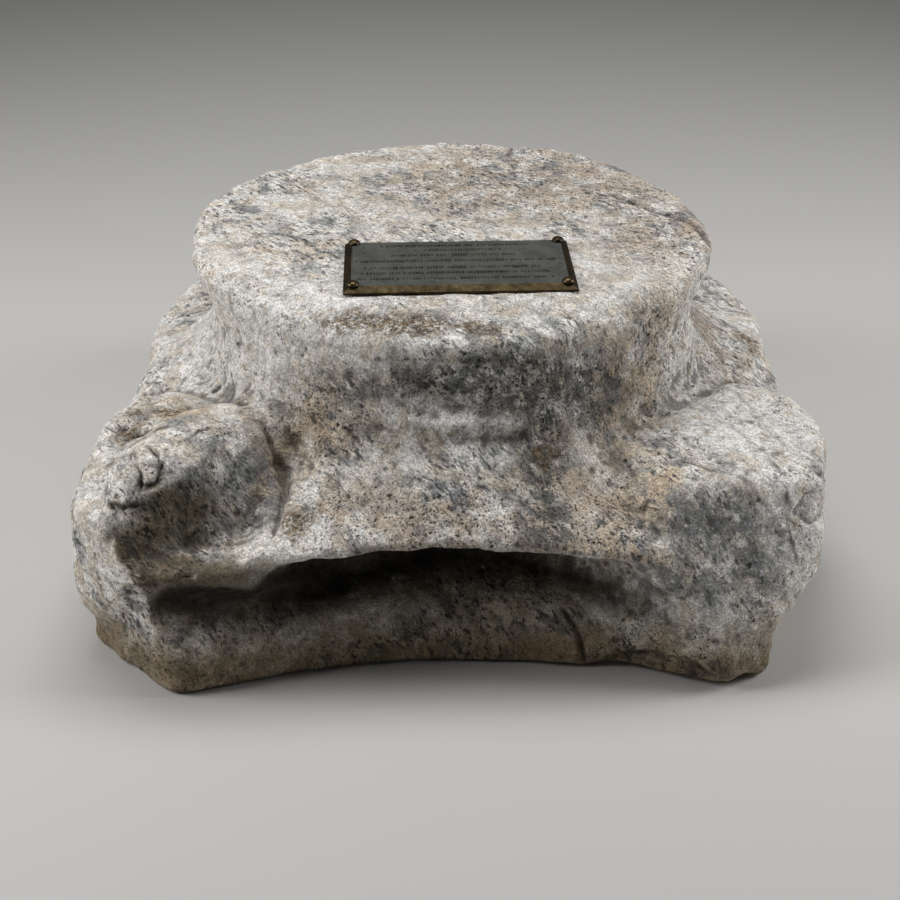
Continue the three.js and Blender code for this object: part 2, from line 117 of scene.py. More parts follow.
# Lines cut into the stone, or standing up from it where the depth is negative: width, depth, path.
LINES = {
    "boss_back": (5, 3, [
        (-225, -44, 113), (-204, -56, 122), (-174, -86, 138), (-150, -112, 144), (-133, -136, 148),
    ]),
    "boss_side": (4, 5, [
        (-146, -118, 146), (-128, -141, 146), (-118, -155, 139), (-110, -166, 124), (-109, -181, 117),
        (-112, -207, 111), (-117, -228, 109),
    ]),
    "boss_ridge": (5, -2, [(-153, -178, 148), (-167, -193, 139), (-188, -207, 131), (-206, -219, 123)]),
    "right_crease": (5, 3, [(144, -114, 138), (163, -95, 139), (181, -74, 138), (203, -40, 126)]),
    "plate_crack": (1.4, 2.6, [(-205, -180, 144), (-197, -197, 143), (-194, -203, 139), (-195, -210, 132)]),
    "plate_edge": (2, 3.2, [
        (-193, -181, 148), (-185, -191, 147), (-183, -199, 143), (-185, -203, 137), (-193, -208, 134),
    ]),
    "plate_foot": (1.8, 3, [(-214, -212, 126), (-203, -214, 125), (-194, -213, 126)]),
    "short_crack": (1.4, 1.8, [(-170, -172, 151), (-163, -165, 151), (-157, -160, 151)]),
    "brow": (6, -2.2, [
        (141, -183, 136), (167, -199, 137), (191, -203, 126), (208, -208, 108), (218, -213, 87),
    ]),
    "right_crack": (1.3, 1.3, [
        (204, -178, 136), (209, -194, 129), (211, -203, 120), (212, -210, 104), (221, -214, 78),
    ]),
    "right_branch": (1.3, 1.2, [(173, -231, 103), (184, -230, 103), (194, -228, 104)]),
    "brow_vein": (1.6, 0.7, [
        (144, -166, 137), (154, -184, 137), (184, -197, 133), (196, -203, 119), (206, -206, 106),
    ]),
    "top_vein": (1.5, 0.6, [
        (181, -71, 136), (195, -87, 137), (203, -113, 138), (208, -135, 137), (216, -160, 136),
    ]),
    "inner_vein": (1.4, 0.5, [(164, -91, 139), (171, -108, 138), (184, -131, 138), (192, -152, 137)]),
    "neck_vein": (1.4, 0.7, [
        (34, -145, 220), (43, -164, 193), (48, -169, 158), (56, -190, 130), (59, -214, 117),
    ]),
    "bell_vein": (1.4, 0.7, [(-22, -177, 151), (-17, -181, 146), (-3, -188, 141), (9, -207, 126)]),
    "bed_vein": (1.2, 0.4, [(45, 125, 225), (55, 82, 225), (83, 6, 225), (100, -44, 225)]),
    "upper_bead": (3, -1.6, [(-42, -164, 178), (0, -171, 178), (32, -167, 177)]),
    "lower_bead": (4, -2.2, [(-38, -170, 163), (0, -175, 163), (48, -169, 161)]),
    "bead_groove": (2.6, 1.2, [(14, -176, 152), (34, -174, 151), (52, -172, 150)]),
    "bed_crack": (1.3, 1.6, [(49, 172, 221), (46, 158, 225), (43, 146, 225)]),
    "rim_ledge": (2.4, 3, [(118, 62, 225), (150, 28, 225), (172, 6, 224), (178, -24, 222)]),
    "slab_crack": (1.8, 3, [(72, -207, 41), (79, -211, 32), (83, -213, 24), (86, -215, 8)]),
    "rim_notch": (5, 4.5, [(50, 180, 216), (49, 170, 226)]),
}
LINE_WANDER = {"size": 7, "reach": 1.2, "most": 1.0}  # makes the lines waver
LINE_ENDS = 0.12  # share of a line over which it grows from its end
LINE_END_DEPTH = 0.25  # share of its depth that it has there
LINE_REACH = 4  # widths from its middle at which a line ends

# Plates of stone that stand up a little, or have come away: centre, radii, height.
PLATES = [
    ((-207, -198, 136), (12, 19, 18), 2.2),
    ((-191, -192, 143), (9, 15, 12), 2.6),
    ((142, -226, 0), (56, 22, 19), -4.0),
    ((226, -186, 112), (16, 20, 14), -3.0),
]
PLATE_SOFTNESS = 0.07
PLATE_WANDER = {"size": 12, "reach": 3.0}  # makes the outlines of the plates ragged

# Small round holes in the front left volute: centre, radius, depth.
HOLES = [((-206, -143, 138), 4.5, 4.5), ((-219, -134, 137), 3.6, 4), ((-163, -83, 138), 4, 2.5)]
HOLE_SOFTNESS = 0.5

# Colours that keep to a place, among them painted light and shade: centre and radii of each patch.
STAINS = {
    "dark": [
        ((45, -168, 186), (55, 32, 24)), ((4, -172, 190), (50, 26, 17)), ((93, -146, 172), (28, 32, 26)),
        ((57, -180, 148), (20, 30, 36)), ((59, -214, 116), (18, 30, 26)),
    ],
    "pepper": [
        ((60, 92, 225), (125, 84, 14)), ((150, -20, 220), (50, 76, 20)), ((138, -100, 180), (40, 40, 40)),
        ((180, -10, 150), (34, 60, 40)), ((-40, -215, 118), (90, 34, 22)),
        ((-90, -165, 160), (50, 40, 30)), ((70, -210, 118), (70, 34, 30)),
    ],
    # painted light: lighter places where the lamps fall most, on the shoulder, the left of the bell, the
    # tops, the bead and the ledges
    "white": [
        ((-105, -125, 216), (60, 44, 18)), ((-150, -85, 180), (44, 54, 44)),
        ((-115, -122, 190), (34, 34, 40)), ((-170, -20, 160), (70, 80, 34)),
        ((196, -120, 136), (46, 60, 14)), ((216, -200, 100), (22, 26, 40)),
        ((150, -60, 172), (40, 50, 50)), ((-96, -222, 100), (34, 20, 14)),
        ((-10, -172, 170), (34, 16, 8)), ((15, -178, 160), (34, 16, 6)),
    ],
    # grey stone, and painted shade on the front faces of the right lump and of the left boss
    "grey": [
        ((-205, -186, 140), (8, 12, 10)), ((-150, -100, 142), (30, 14, 10)),
        ((160, -214, 112), (34, 22, 30)), ((190, -218, 96), (28, 20, 36)),
        ((-60, -172, 182), (50, 30, 14)), ((140, -232, 78), (40, 18, 20)),
        ((-124, -190, 124), (16, 36, 24)), ((-178, -150, 147), (16, 10, 8)),
        ((-160, -176, 146), (12, 12, 12)),
    ],
    "tan": [
        ((116, -130, 160), (30, 44, 38)), ((122, -180, 124), (26, 46, 28)),
        ((138, -100, 185), (24, 32, 28)), ((-92, -155, 150), (24, 32, 28)),
        ((-107, -146, 138), (12, 20, 14)), ((95, -232, 104), (42, 16, 12)),
        ((-175, -120, 140), (44, 44, 10)), ((-120, -172, 122), (12, 34, 14)),
        ((60, -205, 12), (34, 20, 14)),
    ],
    "lichen": [
        ((-66, -141, 219), (18, 12, 10)), ((-23, -149, 217), (26, 12, 12)),
        ((-45, -145, 218), (24, 10, 12)), ((14, -152, 216), (16, 10, 10)), ((59, -176, 140), (9, 10, 8)),
        ((-102, -208, 112), (15, 14, 9)), ((-107, -147, 138), (7, 9, 9)), ((-217, -117, 138), (7, 6, 6)),
        ((-214, -140, 138), (12, 9, 6)), ((-191, -156, 147), (6, 5, 5)), ((-184, -120, 141), (20, 8, 6)),
        ((-140, -130, 147), (7, 18, 8)), ((-205, -160, 143), (7, 7, 6)), ((222, 30, 119), (8, 20, 14)),
    ],
    # smoke stain and painted shade: darker patches in the groove, in the break of the left volute and on
    # its ledge
    "soot_and_shade": [
        ((-172, -212, 116), (38, 24, 26)), ((-196, -226, 106), (26, 20, 20)),
        ((-170, -238, 92), (60, 16, 14)), ((-20, -195, 72), (120, 44, 34)),
        ((-110, -214, 66), (90, 34, 26)), ((-165, -232, 66), (40, 24, 18)),
        ((-186, -235, 98), (34, 14, 9)), ((-180, -232, 100), (34, 16, 9)),
        ((100, -200, 66), (60, 34, 22)),
    ],
    # painted shadow: near-black patches in the groove under the lip of the bell
    "painted_shadow": [
        ((-20, -185, 82), (110, 50, 22)), ((-110, -205, 74), (70, 30, 16)),
        ((-148, -232, 70), (50, 20, 14)), ((-90, -200, 58), (50, 24, 14)),
    ],
}
STAIN_SOFTNESS = 0.5
STAIN_WANDER = {"size": 16, "reach": 6}
PAINTED_SHADE_STAINS = ("soot_and_shade", "painted_shadow")  # painted shade, kept off the faces that look left, which the left lamp lights
LEFT_LOOK = (-0.5, -0.15)  # how far left a face looks where it has none of them, and where all
DEEP_LINE = 1.2  # a line this deep is as dark as it gets
CRACK_MARGIN = 0.4  # how far the dark of a crack reaches past its width
SOIL_AND_SHADE = {"full": 14, "end": 62, "waver": 50}  # heights between which the brown of the earth stain and painted shade low down fades out

# How hollow the surface is: the surroundings it is measured against, and their weights.
CAVITY = {"flat": 0.5, "near_rounds": 3, "near": 0.7, "wide_rounds": 30, "wide": 0.16}

# How sheltered it is: one vertex in so many is measured, by rays, with lengths in metres.
SHELTER_EVERY = 30
SHELTER_RAYS = 36
SHELTER_REACH = 0.11
SHELTER_START = 0.0015  # keeps a ray from meeting the face it starts on
SHELTER_FAR = 0.5  # what stands at the end of the reach counts this much less
SHELTER_NEIGHBOURS = 4  # measured places that the other vertices take theirs from
SHELTER_ROUNDS = 6

# Colours of the marble, of what has come onto it, and of painted light and shade.
COLOURS = {
    "cream": (0.72, 0.635, 0.53),
    "crystal": (0.94, 0.91, 0.865),
    "warm": (0.70, 0.55, 0.38),
    "brown": (0.54, 0.42, 0.31),
    "cloud": (0.29, 0.295, 0.30),
    "streak": (0.07, 0.073, 0.075),
    "fold": (0.15, 0.165, 0.18),
    "grey": (0.24, 0.24, 0.235),
    "dark": (0.11, 0.107, 0.10),
    # painted light, on the places where the lamps fall most
    "painted_light": (0.97, 0.945, 0.91),
    "speck": (0.024, 0.019, 0.014),
    "pale_rust": (0.27, 0.18, 0.085),
    "dark_rust": (0.05, 0.034, 0.02),
    # painted shade, some of it with stain: earth stain low down, staining in the shelter, smoke stain, and
    # painted shadow in the groove
    "soil_and_shade": (0.37, 0.31, 0.225),
    "grime_and_shade": (0.28, 0.24, 0.18),
    "soot_and_shade": (0.20, 0.175, 0.13),
    "painted_shadow": (0.09, 0.075, 0.055),
    "hollow": (0.05, 0.042, 0.032),
    "crack": (0.035, 0.028, 0.02),
}

# How much of each colour is laid on where it is full.
STRENGTHS = {
    "crystal": 1.0, "warm": 0.85, "brown": 0.72, "cloud": 0.9, "streak": 0.9, "fold": 0.7, "grey": 0.75,
    "dark": 0.88, "painted_light": 0.8, "speck": 0.95, "lichen": 0.92, "hollow": 0.6, "crack": 0.8,
}

# Noise patterns: size of the lumps in millimetres, their length along the stone's layers if they have
# one, how many finer sizes there are and how strong they are, the noise between which the pattern rises,
# and what it gives there instead of 0 and 1.
PATTERNS = {
    "crystals": {"size": 16, "detail": 6, "roughness": 0.64, "between": (0.38, 0.58)},
    "warm_places": {"size": 75, "detail": 3, "between": (0.54, 0.66), "gives": (0.0, 0.55)},
    "warm": {"size": 26, "roughness": 0.6, "between": (0.36, 0.58)},
    "brown": {"size": 20, "detail": 5, "roughness": 0.6, "between": (0.38, 0.58)},
    "grey_places": {"size": 60, "detail": 3, "between": (0.42, 0.58), "gives": (0.3, 1.0)},
    "clouds": {"size": 11, "length": 20, "detail": 6, "roughness": 0.62, "between": (0.47, 0.62)},
    "streaks": {"size": 2.4, "length": 7, "roughness": 0.6, "between": (0.54, 0.61)},
    "folds": {"size": 14, "length": 60},
    "grey": {"size": 10, "detail": 6, "roughness": 0.7, "between": (0.4, 0.55)},
    "dark": {"size": 9, "detail": 7, "roughness": 0.75, "between": (0.42, 0.56)},
    # the mottling of the painted light
    "painted_light": {"size": 8, "detail": 6, "roughness": 0.65, "between": (0.36, 0.52)},
    "speck_places": {"size": 34, "roughness": 0.6, "between": (0.5, 0.62), "gives": (0.12, 1.0)},
    "fine_light": {"size": 1.3, "roughness": 0.7, "between": (0.36, 0.64), "gives": (0.6, 1.28)},
    "broad_light": {"size": 4.5, "roughness": 0.65, "between": (0.38, 0.62), "gives": (0.82, 1.1)},
    "rust": {"size": 2.4, "detail": 5, "roughness": 0.7, "between": (0.42, 0.56)},
    "lichen": {"size": 3.6, "detail": 7, "roughness": 0.8, "between": (0.43, 0.52)},
    # the wavering edge of the earth stain and painted shade low down
    "low_band_edge": {"size": 26, "detail": 5, "roughness": 0.6},
    # the wavering of the staining and painted shade in the shelter
    "grime_and_shade": {"size": 14},
    "stone_roughness": {"size": 6, "between": (0.3, 0.7), "gives": (0.7, 0.95)},
    "coarse_relief": {"size": 7, "detail": 5, "roughness": 0.65},
    "fine_relief": {"size": 2.2, "detail": 6, "roughness": 0.7},
    "metal_tone": {"size": 14, "between": (0.4, 0.62)},
    "metal_spots": {"size": 2.2, "between": (0.56, 0.68)},
    "metal_roughness": {"size": 4, "between": (0.3, 0.7)},
    "metal_relief": {"size": 1.6},
}
PATTERN_DETAIL = 4  # of the patterns that don't give their own
PATTERN_ROUGHNESS = 0.55

WHITE_WITHOUT_GREY = 0.6  # share of the grey that the places of painted light lose
WHITE_STREAKED = 0.7  # and how streaked they are all the same
FOLD = {"middle": 0.5, "thin": 0.002, "thick": 0.011}  # thin lines where the noise is at its middle
LAYER_BEND = {"size": 60, "reach": 15}  # how the layers curve
SPECK_BEND = {"size": 1.6, "reach": 3.2}  # how ragged the specks are
SPECKS = [(1.8, 0.42, 0.42), (3.4, 0.38, 0.58), (8, 0.27, 0.78)]  # cell, radius in cells, share without
SPECK_CORE = 0.4  # share of a speck's radius that is full dark
SPECK_FADE = 0.04  # how softly specks come in from cell to cell
SPECK_CROWD = 0.13  # how much larger the share with specks is in the peppered places
GRIME_AND_SHADE = {"wavering": 0.3, "between": (0.47, 0.93)}  # how sheltered the stone is where the staining and painted shade set in
WORN_LIGHT = {"between": (0.2, 0.44), "gives": (1.15, 1.0)}  # the lighter tone of what stands out
HOLLOW_DARK = (0.6, 0.95)  # how hollow it is where the dark of the hollows sets in
STONE_SPECULAR = 0.35
RELIEF = {"coarse_relief": 1.6, "fine_relief": 1.2}  # depths in millimetres
GRAIN_RELIEF = {"size": 2.8, "reach": 0.45, "depth": 0.3}

# Metals: colours of the dull and the bright parts, how metallic and how rough.
METALS = {
    "plaque_rim": ((0.036, 0.025, 0.01), (0.062, 0.043, 0.018), 0.85, 0.42),
    "plaque_field": ((0.093, 0.098, 0.089), (0.124, 0.128, 0.112), 0.6, 0.62),
    "stroke_bronze": ((0.012, 0.01, 0.007), (0.07, 0.055, 0.03), 0.4, 0.55),
    "screw_bronze": ((0.035, 0.024, 0.011), (0.10, 0.07, 0.035), 0.85, 0.32),
}
METAL_SPOTS = {"tone": 0.35, "strength": 0.6}  # the spots' tone is a share of the dull colour
METAL_ROUGHNESS_SPREAD = (-0.08, 0.14)
METAL_RELIEF = 0.05

# The plaque, its rows of strokes and its screws.
PLATE_EDGE = {"width": 0.45, "segments": 3, "angle": 20}  # the small bevel on the plate's edges
PLATE_FIELD_AREA = 1e-5  # square metres, less than the plate's flat top has
LEVEL = 0.999  # the least that a level face's normal looks up
PLAQUE_TURN = math.radians(2.3)
# Distance of each row from the plaque's middle line, and where the row starts and ends.
STROKE_ROWS = [
    (28.5, -51, 49), (21, -28, 29), (12.5, -44, 40), (3, -68, 66),
    (-8, -62, 55), (-16.5, -64, 62), (-25.5, -66, 61),
]
STROKE = {"height": 3.4, "width": 0.85, "rise": 0.3, "pitch": 1.9, "lean": 0.06, "unevenness": 0.2}
STROKE_SHARES = {"height": (0.55, 1.0), "width": (0.8, 1.3), "pitch": (0.8, 1.25), "missing": 0.14}
SCREW = {"head": 2.7, "shank": 0.45, "point": 2, "sides": 40, "rows": 10}  # shank as a share of the head
SCREW_NODES = ("screw_front_left", "screw_front_right", "screw_back_left", "screw_back_right")

# The studio, in metres. A light has its place, the point it faces, its size and its power in watts.
FLOOR = {"size": 14, "colour": (0.62, 0.61, 0.59), "roughness": 0.9}
WORLD = {"colour": (0.8, 0.82, 0.85, 1), "strength": 0.05}
LIGHTS = {
    "top_softbox": ((-0.1, 0.2, 1.5), (0, 0, 0.15), (1.0, 0.7), 9.9),
    "left_softbox": ((-1.25, -0.3, 0.9), (0, 0, 0.12), (0.5, 0.8), 11.0),
    "right_softbox": ((1.3, -0.05, 0.85), (0, 0, 0.12), (0.5, 0.8), 10.1),
}

# The camera, in millimetres and degrees.
VIEW_POINT = (-2.07, 0.0, 41.16)
VIEW_DISTANCE = 1200.0
VIEW_ELEVATION = 30.35
FIELD_OF_VIEW = math.radians(32.0841)

# -------- noise

HASH_FACTORS = (73856093, 19349663, 83492791, 2654435761)  # large odd numbers that scatter the cells
HASH_MIX = 1274126177
LOTS = 256
RADIUS_LOT = 77  # how far from a cell's own lot the one for its pit's radius is
CHOICE_LOT = 19  # and the one that says whether it has a pit


def hashed(cells, seed):
    """A repeatable number from 0 to 255 for each whole-numbered cell."""
    mixed = seed * HASH_FACTORS[3]
    for i in range(3):
        mixed = mixed ^ (cells[:, i] * HASH_FACTORS[i])
    mixed = (mixed ^ (mixed >> 13)) * HASH_MIX
    return ((mixed ^ (mixed >> 16)) & (LOTS - 1)).astype(np.int64)


noise_directions = np.random.RandomState(SEED).normal(size=(LOTS, 3))
noise_directions /= np.linalg.norm(noise_directions, axis=1)[:, None]
pit_middles = np.random.RandomState(SEED + 1).uniform(*PIT_MIDDLES, size=(LOTS, 3))
pit_lots = np.random.RandomState(SEED + 2).uniform(0, 1, size=LOTS)


def noise(points, size, seed):
    """Smooth noise, about -1 to 1, with lumps of a size."""
    places = points / size
    base = np.floor(places).astype(np.int64)
    inside = places - base
    ease = inside * inside * inside * (inside * (inside * 6 - 15) + 10)
    total = np.zeros(len(points))
    for corner in itertools.product((0, 1), repeat=3):
        gradient = noise_directions[hashed(base + corner, seed)]
        weight = np.prod(np.where(corner, ease, 1 - ease), axis=1)
        total += weight * np.einsum("ij,ij->i", gradient, inside - corner)
    return total * NOISE_GAIN


def wandering(points, wander, seeds):
    """Points moved about by noise, so that what is placed by them has a ragged outline."""
    steps = np.stack([noise(points, wander["size"], seed) for seed in seeds], axis=1)
    return points + wander["reach"] * steps


def pits(points, size, reach, seed, share):
    """1 in the middle of round pits, 0 outside them, where a share of the cells has one."""
    places = points / size
    base = np.floor(places).astype(np.int64)
    deepest = np.zeros(len(points))
    for corner in itertools.product((-1, 0, 1), repeat=3):
        cell = base + corner
        lot = hashed(cell, seed)
        distance = np.linalg.norm(places - (cell + pit_middles[lot]), axis=1)
        radius = reach * (PIT_SMALLEST + pit_lots[(lot + RADIUS_LOT) % LOTS])
        chosen = pit_lots[(lot + CHOICE_LOT) % LOTS] < share
        depth = np.clip(1 - (distance / radius) ** 2, 0, 1) * chosen
        deepest = np.maximum(deepest, depth)
    return deepest


def smooth_step(low, high, values):
    """0 below a low value, 1 above a high one, and an eased rise between them."""
    share = np.clip((values - low) / (high - low), 0, 1)
    return share * share * (3 - 2 * share)


# -------- places on the stone


def along_path(points, path):
    """Distance to a path of points, and how far along it, from 0 to 1, the nearest place is."""
    path = np.array(path, float)
    lengths = np.linalg.norm(np.diff(path, axis=0), axis=1)
    starts = np.concatenate([[0], np.cumsum(lengths)])
    nearest = np.full(len(points), np.inf)
    share = np.zeros(len(points))
    for i, length in enumerate(lengths):
        step = path[i + 1] - path[i]
        t = np.clip(((points - path[i]) @ step) / length**2, 0, 1)
        distance = np.linalg.norm(points - path[i] - t[:, None] * step, axis=1)
        closer = distance < nearest
        nearest[closer] = distance[closer]
        share[closer] = ((starts[i] + t * length) / starts[-1])[closer]
    return nearest, share


def blob(points, centre, radii, soft):
    """1 inside an egg-shaped place, or a round one with one radius, falling to 0 past its edge."""
    distance = np.linalg.norm((points - np.array(centre)) / np.array(radii), axis=1)
    return 1 - smooth_step(1 - soft, 1 + soft, distance)


def in_layers(points):
    """Points in a frame whose first axis runs across the stone's layers."""
    across = np.array(FOLIATION)
    along = np.cross(across, (0, 0, 1))
    along /= np.linalg.norm(along)
    return points @ np.stack([across, along, np.cross(across, along)], axis=1)


# -------- meshes


def bake(piece):
    """Replaces a piece's mesh by what its modifiers make of it."""
    evaluated = piece.evaluated_get(bpy.context.evaluated_depsgraph_get())
    mesh = bpy.data.meshes.new_from_object(evaluated)
    piece.modifiers.clear()
    piece.data = mesh


def even_cells(piece, size):
    """Gives a piece's mesh even cells of a size in millimetres."""
    remesh = piece.modifiers.new("cells", "REMESH")
    remesh.mode = "VOXEL"
    remesh.voxel_size = size * MM
    bake(piece)
    piece.data.name = piece.name


def thin_out(piece, triangles):
    """Merges the smallest and flattest triangles until no more than a number are left."""
    count = sum(len(polygon.vertices) - 2 for polygon in piece.data.polygons)
    if count <= triangles:
        return
    fewer = piece.modifiers.new("fewer", "DECIMATE")
    fewer.ratio = triangles / count
    bake(piece)
    piece.data.name = piece.name


def finer_cells(mesh):
    """Smaller cells along the thin cracks."""
    points = positions_of(mesh)
    close = np.zeros(len(points), bool)
    for width, _, path in LINES.values():
        if width < THIN_LINE:
            close |= along_path(points, path)[0] < THIN_REACH
    bm = bmesh.new()
    bm.from_mesh(mesh)
    edges = [edge for edge in bm.edges if close[edge.verts[0].index] and close[edge.verts[1].index]]
    bmesh.ops.subdivide_edges(bm, edges=edges, cuts=THIN_CUTS, use_grid_fill=True)
    bmesh.ops.triangulate(bm, faces=[face for face in bm.faces if len(face.verts) > 4])
    bm.to_mesh(mesh)
    bm.free()


def values_of(elements, name, width, kind=float):
    """What a mesh stores for each of its vertices or edges, as rows."""
    values = np.zeros(len(elements) * width, kind)
    elements.foreach_get(name, values)
    return values.reshape(-1, width)


def positions_of(mesh):
    return values_of(mesh.vertices, "co", 3) / MM


def normals_of(mesh):
    return values_of(mesh.vertices, "normal", 3)


def edges_of(mesh):
    return values_of(mesh.edges, "vertices", 2, np.int64)


def put_positions(mesh, points):
    mesh.vertices.foreach_set("co", (points * MM).ravel())
    mesh.update()


def put_mask(mesh, name, values):
    attribute = mesh.attributes.new(name, "FLOAT", "POINT")
    attribute.data.foreach_set("value", np.clip(values, 0, 1).astype(np.float32))


def relaxed(values, edges, rounds):
    """Values averaged with their neighbours, again and again."""
    count = np.maximum(np.bincount(edges.ravel(), minlength=len(values)), 1.0)
    columns = values.reshape(len(values), -1)
    for _ in range(rounds):
        sums = np.zeros_like(columns)
        for k in range(columns.shape[1]):
            sums[:, k] = np.bincount(edges[:, 0], columns[edges[:, 1], k], len(values))
            sums[:, k] += np.bincount(edges[:, 1], columns[edges[:, 0], k], len(values))
        columns = 0.5 * columns + 0.5 * sums / count[:, None]
    return columns.reshape(values.shape)


def bulge(points, normals, edges, rounds):
    """How far each point stands out of its surroundings, along its normal."""
    return -np.einsum("ij,ij->i", relaxed(points, edges, rounds) - points, normals)


def smooth_shaded(mesh):
    for polygon in mesh.polygons:
        polygon.use_smooth = True


def new_object(name, data):
    """Puts a mesh, a light or a camera into the scene."""
    added = bpy.data.objects.new(name, data)
    bpy.context.scene.collection.objects.link(added)
    return added


# -------- the stone


def facing_normal(facing, tilt):
    """The direction a face looks in, from its compass from the front and how far up it looks."""
    compass, up = math.radians(facing), math.radians(tilt)
    return np.array([math.sin(compass) * math.cos(up), -math.cos(compass) * math.cos(up), math.sin(up)])


def carved(points, centre, radii, turn, way):
    """Points inside the squarish egg and in front of the slope, pushed along a direction out of them."""
    angle = math.radians(turn)
    cos, sin = math.cos(angle), math.sin(angle)
    axes = np.array([(cos, sin, 0), (-sin, cos, 0), (0, 0, 1)]) / np.array(radii, float)[:, None]
    centre, way = np.array(centre, float), np.array(way, float)
    slope_at = np.array(SLOPE["at"], float)
    slope_normal = facing_normal(SLOPE["facing"], SLOPE["tilt"])

    def inside(places):
        in_egg = (np.abs((places - centre) @ axes.T) ** HOLLOW_SQUARENESS).sum(1) < 1
        return in_egg & ((places - slope_at) @ slope_normal > 0)

    near = np.zeros(len(points))
    far = np.full(len(points), 2.0 * max(radii))
    touched = inside(points)
    for _ in range(CUT_HALVINGS):
        middle = (near + far) / 2
        within = inside(points + middle[:, None] * way)
        near, far = np.where(within, middle, near), np.where(within, far, middle)
    return points + np.where(touched, far, 0)[:, None] * way


def faced(points, at, facing, tilt):
    """Points beyond a flat break brought back to it."""
    normal = facing_normal(facing, tilt)
    beyond = np.maximum((points - np.array(at, float)) @ normal, 0)
    return points - beyond[:, None] * normal


def worn_depth(points, convex):
    """How far the weather has raised or lowered each point: lumps, layers, pits and chipped edges."""
    depth = np.zeros(len(points))
    for i, (size, amount) in enumerate(WEAR):
        depth += amount * noise(points, size, SEEDS["wear"] + i)
    layers = in_layers(points) / np.array([GRAIN["thickness"], GRAIN["length"], GRAIN["length"]])
    depth += GRAIN["depth"] * noise(layers, 1.0, SEEDS["grain"])
    for i, (size, reach, amount) in enumerate(PITS):
        depth -= amount * pits(points, size, reach, SEEDS["pits"] + i, PIT_SHARE)
    for i, (size, reach, amount) in enumerate(CHIPS):
        depth -= amount * pits(points, size, reach, SEEDS["chips"] + i, CHIP_SHARE) * convex
    return depth


def raised(points, places, soft):
    """How far egg-shaped places raise each point."""
    height = np.zeros(len(points))
    for centre, radii, rise in places:
        height += rise * blob(points, centre, radii, soft)
    return height


def line_depth(points):
    """How deep the cracks and creases are, less than 0 at the beads and ridges."""
    total = np.zeros(len(points))
    wander = LINE_WANDER["reach"] * noise(points, LINE_WANDER["size"], SEEDS["lines"])
    wander = np.clip(wander, -LINE_WANDER["most"], LINE_WANDER["most"])
    for width, depth, path in LINES.values():
        distance, share = along_path(points, path)
        ends = smooth_step(0, LINE_ENDS, share) * (1 - smooth_step(1 - LINE_ENDS, 1, share))
        strength = LINE_END_DEPTH + (1 - LINE_END_DEPTH) * ends
        across = (distance + wander) / width
        total += depth * np.exp(-across * across) * strength * (distance < LINE_REACH * width)
    return total


def bed_share(points, normals):
    """1 on the level column bed, 0 elsewhere."""
    level = smooth_step(*BED_LEVEL, normals[:, 2])
    high = smooth_step(HEIGHT - BED_DEPTHS[0], HEIGHT - BED_DEPTHS[1], points[:, 2])
    return level * high


def cut_breaks(piece):
    """Takes the CAD facets out of the stone and cuts its sharp breaks."""
    even_cells(piece, CELL)
    points = relaxed(positions_of(piece.data), edges_of(piece.data), FACET_ROUNDS)
    points = carved(points, **HOLLOW)
    for face in FACES:
        points = faced(points, *face)
    put_positions(piece.data, points)
    even_cells(piece, CELL)
    finer_cells(piece.data)
    put_positions(piece.data, relaxed(positions_of(piece.data), edges_of(piece.data), CUT_ROUNDS))


def weather(mesh):
    """Wears the whole surface and adds the cracks, plates and holes, inside the CAD box."""
    points, normals = positions_of(mesh), normals_of(mesh)
    bed = bed_share(points, normals)
    standing = smooth_step(*FOOT_HEIGHTS, points[:, 2])
    convex = smooth_step(*EDGE_BULGE, bulge(points, normals, edges_of(mesh), EDGE_ROUNDS)) * (1 - bed)
    rise = worn_depth(points, convex) * standing * (1 - (1 - BED_WEAR) * bed)
    rise += raised(wandering(points, PLATE_WANDER, PLATE_SEEDS), PLATES, PLATE_SOFTNESS)
    rise -= line_depth(points) + raised(points, HOLES, HOLE_SOFTNESS) + BED_SINK * bed
    points = points + normals * rise[:, None]
    low, high = (np.array(corner) / MM for corner in cad_bounds)
    high[2] = HEIGHT  # only the plaque and its screws reach above it
    put_positions(mesh, np.clip(points, low, high))


def make_stone():
    piece = new_object("stone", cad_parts["capital"].data.copy())
    piece.data.materials.clear()
    cut_breaks(piece)
    weather(piece.data)
    thin_out(piece, TRIANGLES)
    paint_masks(piece.data)
    smooth_shaded(piece.data)
    return piece


# -------- masks for the stone's material


def occlusion(points, normals, tree):
    """How much of the open view from each point is blocked, from 0 to 1, counting near things most."""
    rng = np.random.RandomState(SEED + 3)
    rays = rng.normal(size=(SHELTER_RAYS, 3))
    rays /= np.linalg.norm(rays, axis=1)[:, None]
    blocked = np.zeros(len(points))
    for i, (point, normal) in enumerate(zip(points, normals)):
        start = Vector(point * MM) + Vector(normal) * SHELTER_START
        total, seen = 0.0, 0.0
        for ray in rays:
            if ray @ normal < 0:
                ray = -ray
            weight = ray @ normal
            met, _, _, distance = tree.ray_cast(start, Vector(ray), SHELTER_REACH)
            seen += weight
            if met is not None:
                total += weight * (1 - SHELTER_FAR * distance / SHELTER_REACH)
        blocked[i] = total / seen
    return blocked


def spread(places, values, points):
    """Values known at some places, carried to points near them."""
    tree = KDTree(len(places))
    for i, place in enumerate(places):
        tree.insert(place, i)
    tree.balance()
    result = np.zeros(len(points))
    for i, point in enumerate(points):
        near = tree.find_n(point, SHELTER_NEIGHBOURS)
        weights = np.array([1 / (1 + distance) for _, _, distance in near])
        result[i] = (weights * values[[index for _, index, _ in near]]).sum() / weights.sum()
    return result


